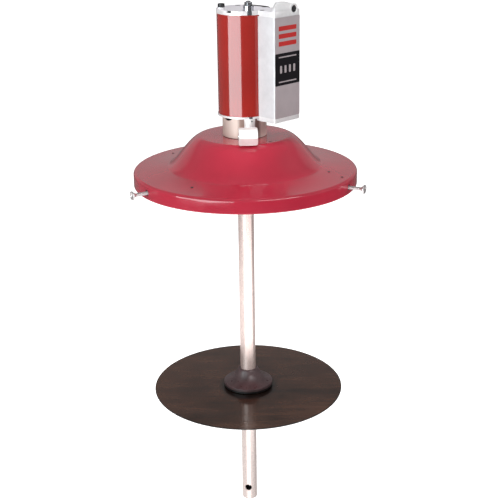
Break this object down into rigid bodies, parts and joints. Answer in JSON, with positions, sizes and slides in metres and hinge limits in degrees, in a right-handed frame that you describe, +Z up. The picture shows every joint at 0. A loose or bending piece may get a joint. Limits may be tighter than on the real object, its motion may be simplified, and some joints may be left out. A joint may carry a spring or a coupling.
{
  "type": "air-operated grease drum pump",
  "caption": "Air-operated grease pump: an air motor on a dished drum cover drives a long pump tube, with a follower plate that slides on the tube.",
  "frame": {"origin": "on the pump axis, in the plane where the cover's flange rests on the drum's rim", "axes": "+Z up the pump axis towards the air motor, +X outward from the valve chest's port face"},
  "size_m": [0.4146, 0.4195, 0.963],
  "materials": {
    "cover_paint": "gloss",
    "shroud_paint": "gloss",
    "bright_casting": "fine machined",
    "machined_body": "turned",
    "tube_steel": "satin",
    "zinc": "bright zinc plate",
    "inner_steel": "ground",
    "inner_aluminium": "turned",
    "black_steel": "black oxide",
    "brass": "turned",
    "seal_rubber": "matte",
    "packing": "matte",
    "plate_dark": "gloss",
    "grommet_rubber": "satin"
  },
  "bodies": {
    "pump": {"drum_cover": "cover_paint", "weld_nuts": "cover_paint", "cylinder_shroud": "shroud_paint", "lower_cap": "bright_casting", "upper_cap": "bright_casting", "valve_chest": "bright_casting", "outlet_body": "machined_body", "pump_tube": "tube_steel", "foot_tube": "tube_steel", "outlet_elbow": "zinc", "front_tie_screw": "zinc", "mounting_nut": "zinc", "intake_body": "inner_steel", "pump_barrel": "inner_steel", "motor_cylinder": "inner_aluminium", "valve_plug": "inner_aluminium", "tie_screws": "black_steel", "chest_screws": "black_steel", "neck_screws": "black_steel", "gallery_plug": "black_steel", "rod_bushing": "brass", "gland_nut": "brass", "valve_sleeve": "brass", "exhaust_muffler": "brass", "cover_gasket": "seal_rubber", "rod_seal": "seal_rubber", "lower_bumper": "seal_rubber", "upper_bumper": "seal_rubber", "cylinder_seals": "seal_rubber", "sleeve_seals": "seal_rubber", "packing_rings": "packing"},
    "rod": {"air_piston": "inner_aluminium", "piston_seal": "seal_rubber", "piston_nut": "inner_steel", "piston_rod": "inner_steel", "rod_coupling": "inner_steel", "coupling_pins": "inner_steel", "pump_rod": "inner_steel", "pump_plunger": "inner_steel", "plunger_rings": "packing", "priming_rod": "inner_steel", "priming_piston": "inner_steel", "priming_nut": "inner_steel"},
    "ball": {"delivery_ball": "inner_steel"},
    "intake": {"intake_valve": "inner_steel"},
    "spool": {"valve_spool": "inner_steel"},
    "follower": {"follower_plate": "plate_dark", "follower_grommet": "grommet_rubber"},
    "screw_right": {"thumb_screw_right": "zinc"},
    "screw_rear": {"thumb_screw_rear": "zinc"},
    "screw_left": {"thumb_screw_left": "zinc"}
  },
  "joints": [
    {"name": "pump_stroke", "type": "slide", "parent": "pump", "child": "rod", "axis": [0, 0, 1], "range_m": [0, 0.1143]},
    {"name": "spool_shift", "type": "slide", "parent": "pump", "child": "spool", "axis": [0, 0, 1], "range_m": [0, 0.008]},
    {"name": "delivery_ball_lift", "type": "slide", "parent": "rod", "child": "ball", "axis": [0, 0, 1], "range_m": [0, 0.005]},
    {"name": "intake_valve_lift", "type": "slide", "parent": "pump", "child": "intake", "axis": [0, 0, 1], "range_m": [0, 0.006]},
    {"name": "follower_slide", "type": "slide", "parent": "pump", "child": "follower", "axis": [0, 0, 1], "range_m": [-0.2, 0.38]},
    {"name": "thumb_screw_right_feed", "type": "slide", "parent": "pump", "child": "screw_right", "axis": [-0.9524, -0.3049, 0], "range_m": [-0.003, 0.014]},
    {"name": "thumb_screw_rear_feed", "type": "slide", "parent": "pump", "child": "screw_rear", "axis": [0.7402, -0.6724, 0], "range_m": [-0.003, 0.014]},
    {"name": "thumb_screw_left_feed", "type": "slide", "parent": "pump", "child": "screw_left", "axis": [0.2122, 0.9772, 0], "range_m": [-0.003, 0.014]}
  ]
}
